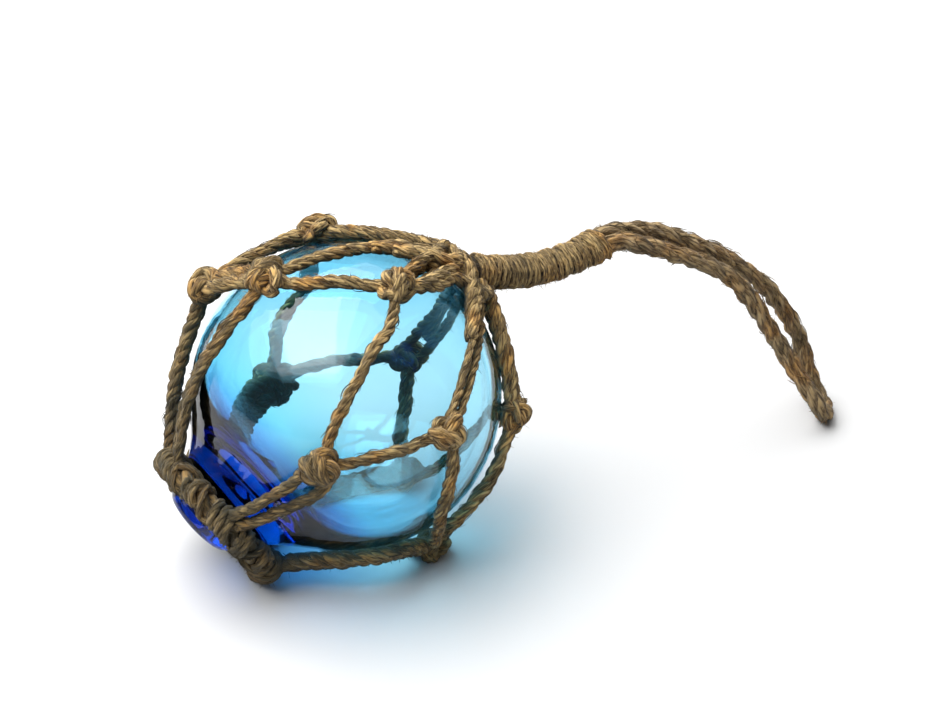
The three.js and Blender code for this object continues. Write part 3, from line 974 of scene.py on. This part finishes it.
def makeRing():
    dice = np.random.default_rng(47)
    skein = newSkein()
    circle = [ringPoint(a, baseRing["radius"], baseRing["height"]) for a in range(0, 360, 12)]
    path = smoothThrough(circle, 0.0008, closed=True)
    path = path[:-1] if np.linalg.norm(path[0] - path[-1]) < 1e-5 else path
    layRope(skein, path, ringRope, dice, closed=True)
    for wrap in ringWraps["strands"]:
        path = clearOfGlass(wrapPath(*wrap), netCord["track"])
        layRope(skein, path, tieCord, dice, closed=True, thickness=ringWraps["thickness"])
    ties = [(around, tieShape["turns"], size) for around, size in ringTies.values()]
    ties += [(around, turns, betweenTies["size"]) for around, turns in betweenTies["places"]]
    for around, turns, size in ties:
        path = clearOfGlass(tiePath(around, turns, size, dice), netCord["track"])
        layRope(skein, path, tieCord, dice, thickness=0.3 + 0.7 * size)
    return skein


ringSkein = makeRing()
ringPiece = makePiece("base_ring_rope", ringSkein, jute)
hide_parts("base_ring")
print("ring tied")


# neck: twine wound tightly about the gathered cords

neck = {
    "route": [  # millimetres, in the ball's own frame
        (-3.6, -0.3, 42.4), (-1, -0.1, 44.5), (4.6, 0.3, 48.9), (9.1, 0.8, 53.1), (13.1, 1.2, 57.7),
        (16.3, 1.3, 62.8), (18.7, 1.2, 68.1), (20.1, 1.2, 72.4), (21.2, 1.3, 75.3),
    ],
    "stem": 0.0012,  # bare cords before the first turn
    "radius": 0.0043,
    "twine": 0.00062,
    "ply": {
        "plies": 2, "lay": 0.0058, "offset": 0.00015, "radius": 0.00052, "sides": 8,
        # low openness paints the twine's sides in deep shade between the turns
        "uneven": 0.2, "slub": 0.16, "fibreTurn": -400, "rough": 0.1, "openness": 0.16,
    },
    "pitch": 0.0014,
    "leans": 0.0003,
    "uneven": 0.00022,
    "collarCord": 0.0024,
    "collarLength": 0.0054,
    "collarPitch": 0.0022,
    "collarSinks": 0.0007,  # into the whipping
    "collarRope": {
        "plies": 3, "lay": 0.011, "offset": 0.0005, "radius": 0.00085, "sides": 8,
        "uneven": 0.16, "slub": 0.14, "fibreTurn": -300, "rough": 0.12, "openness": 0.3,
    },
}


def toWorld(local):
    return ballCentre + ballTurn @ (np.array(local, float) * mm)


def windAlong(path, start, end, radius, pitch, dice, lean=0.0, jitter=0.0):
    # a helix round part of a path
    run = runAlong(path)
    along, across, beside = carriedFrame(path)
    turns = (end - start) / pitch
    count = int(turns * 28)
    s = np.linspace(start, end, count)
    angle = 2 * math.pi * turns * np.linspace(0, 1, count)
    centre, alongHere, acrossHere, besideHere = (
        np.column_stack([np.interp(s, run, values[:, k]) for k in range(3)])
        for values in (path, along, across, beside)
    )
    spoke = acrossHere * np.cos(angle)[:, None] + besideHere * np.sin(angle)[:, None]
    reach = radius + wander(dice, angle, 9.0, jitter) + wander(dice, angle, 2.9, jitter * 0.6)
    slide = lean * np.sin(angle) + wander(dice, angle, 7.3, jitter)
    return centre + spoke * reach[:, None] + alongHere * slide[:, None], spoke


def makeNeck():
    dice = np.random.default_rng(59)
    path = smoothThrough([toWorld(p) for p in neck["route"]], 0.0005)
    length = runAlong(path)[-1]
    skein = newSkein()
    inner = neck["radius"] - neck["twine"]
    turnsEnd = length - neck["collarLength"] * 0.85
    wound, outside = windAlong(
        path, neck["stem"], turnsEnd, inner, neck["pitch"], dice, lean=neck["leans"], jitter=neck["uneven"]
    )
    layRope(skein, wound, neck["ply"], dice, outside=outside)
    # the gathered cords under the twine, painted in deep shade where they show between the turns
    core = path[(runAlong(path) >= neck["stem"] * 0.6) & (runAlong(path) <= length - 0.0008)]
    addTube(skein, core, inner - 0.0002, 14, 0.1, dice, keepForFuzz=False)
    for lean, turn in ((0.0011, 0.0), (-0.0004, 0.0013)):
        collar, outside = windAlong(
            path, length - neck["collarLength"] + turn, length - neck["collarCord"],
            neck["radius"] - neck["collarSinks"], neck["collarPitch"], dice, lean=lean, jitter=0.0001,
        )
        layRope(skein, collar, neck["collarRope"], dice, outside=outside)
    return skein


neckSkein = makeNeck()
neckPiece = makePiece("neck_twine", neckSkein, jute)
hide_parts("neck_whipping")
print("neck whipped")


# loose fibre: hairs that stand off the cords, and wisps that run along them

fuzzShape = {
    "thickness": 0.000075,
    "longShare": 0.05,  # of the hairs stand out further, by longTimes
    "longTimes": 2.2,
    "wispThickness": 0.00015,
}


def chooseStrands(skeins, count, dice):
    strands = [s for skein in skeins for s in skein["strands"]]
    lengths = np.array([runAlong(s[0])[-1] for s in strands])
    return [strands[i] for i in dice.choice(len(strands), size=count, p=lengths / lengths.sum())]


def makeFuzz(name, skeins, count, seed, length, onGlass):
    dice = np.random.default_rng(seed)
    hairs = newSkein()
    for path, along, across, beside, radii in chooseStrands(skeins, count, dice):
        i = dice.integers(len(path))
        angle = dice.random() * 2 * math.pi
        out = across[i] * math.cos(angle) + beside[i] * math.sin(angle)
        root = path[i] + out * radii[i] * 0.8
        if onGlass and out @ unit(root - ballCentre) < -0.15:
            continue
        sway = unit(dice.normal(size=3))
        lean = dice.choice((-1, 1)) * dice.uniform(0.4, 2.2)
        heading = unit(along[i] * lean + out * dice.uniform(0.4, 1.1) + sway * 0.5)
        long = length * dice.uniform(0.25, 1)
        long *= fuzzShape["longTimes"] if dice.random() < fuzzShape["longShare"] else 1
        t = np.linspace(0, 1, 3)[:, None]
        curl = unit(np.cross(heading, sway)) * dice.normal() * 0.5
        hair = root + (heading * t + curl * t * t) * long
        if onGlass:
            hair = clearOfGlass(hair, lying["glassRadius"] + 0.00015)
        hair[:, 2] = np.maximum(hair[:, 2], floorHeight + 0.0001)
        taper = fuzzShape["thickness"] * dice.uniform(0.6, 1.3) * np.array([1, 0.8, 0.3])
        addTube(hairs, hair, taper, 3, 0.25 + 0.75 * dice.random(), dice, keepForFuzz=False)
    piece = makePiece(name, hairs, fuzz)


def makeWisps(name, skeins, count, seed):
    dice = np.random.default_rng(seed)
    wisps = newSkein()
    for path, _, across, beside, radii in chooseStrands(skeins, count, dice):
        span = int(dice.integers(6, 12))
        if len(path) <= span:
            continue
        i = int(dice.integers(len(path) - span))
        part = slice(i, i + span)
        t = np.linspace(0, 1, span)
        angle = dice.random() * 2 * math.pi + dice.normal() * 1.5 * t
        out = across[part] * np.cos(angle)[:, None] + beside[part] * np.sin(angle)[:, None]
        lift = 1 + dice.uniform(0, 0.25) * np.sin(math.pi * t) + dice.uniform(0, 0.7) * t ** 4
        wisp = path[part] + out * (radii[part] * lift)[:, None]
        wisp[:, 2] = np.maximum(wisp[:, 2], floorHeight + 0.0002)
        taper = fuzzShape["wispThickness"] * dice.uniform(0.6, 1.2) * (0.3 + 0.7 * np.sin(math.pi * t) ** 0.6)
        addTube(wisps, wisp, taper, 3, 0.3 + 0.7 * dice.random(), dice, keepForFuzz=False)
    piece = makePiece(name, wisps, jute)


ballSkeins = [netSkein, knotSkein, crownSkein]
makeFuzz("net_fuzz", ballSkeins, 15000, 71, 0.0014, True)
makeFuzz("ring_fuzz", [ringSkein], 4600, 72, 0.0014, True)
makeFuzz("neck_fuzz", [neckSkein], 4500, 73, 0.0012, False)
makeFuzz("loop_fuzz", [loopSkein], 4000, 74, 0.0013, False)
makeWisps("net_wisps", ballSkeins, 2600, 75)
makeWisps("ring_wisps", [ringSkein], 400, 76)
makeWisps("loop_wisps", [loopSkein], 450, 77)
print("fibres raised")


# studio

studio = {
    "floorSize": 3.0,
    "floorColour": (0.64, 0.64, 0.64),
    "surround": (0.95, 0.98, 1.0),
    "surroundStrength": 0.15,
    "softboxes": [  # one within another, so the light fades out: how far back, width, depth, watts
        ("inner_softbox", 0.05, 1.15, 0.5, 5.4),
        ("middle_softbox", 0.1, 1.5, 0.8, 7.5),
        ("outer_softbox", 0.28, 1.9, 1.4, 11.4),
    ],
}


def makeStudio():
    deselect()
    bpy.ops.mesh.primitive_plane_add(size=studio["floorSize"], location=(0, 0, floorHeight))
    floor = bpy.context.object
    floor.name = "studio_floor"
    material = bpy.data.materials.new("studio_floor")
    material.use_nodes = True
    shader = material.node_tree.nodes["Principled BSDF"]
    shader.inputs["Base Color"].default_value = (*studio["floorColour"], 1)
    shader.inputs["Roughness"].default_value = 0.9
    floor.data.materials.append(material)
    world = bpy.data.worlds.new("studio")
    bpy.context.scene.world = world
    world.use_nodes = True
    sky = world.node_tree.nodes["Background"]
    sky.inputs["Color"].default_value = (*studio["surround"], 1)
    sky.inputs["Strength"].default_value = studio["surroundStrength"]
    for name, back, width, depth, power in studio["softboxes"]:
        addLamp(name, (-0.3, back, 0.75), (-0.2, back * 0.8, 0), width, depth, power)
    bpy.context.scene.view_settings.view_transform = "Standard"


def addLamp(name, place, target, width, depth, power):
    data = bpy.data.lights.new(name, "AREA")
    data.shape = "RECTANGLE"
    data.size, data.size_y = width, depth
    data.energy = power
    lamp = bpy.data.objects.new(name, data)
    bpy.context.scene.collection.objects.link(lamp)
    lamp.location = place
    lamp.rotation_euler = (Vector(target) - Vector(place)).to_track_quat("-Z", "Y").to_euler()


makeStudio()
print("studio lit")
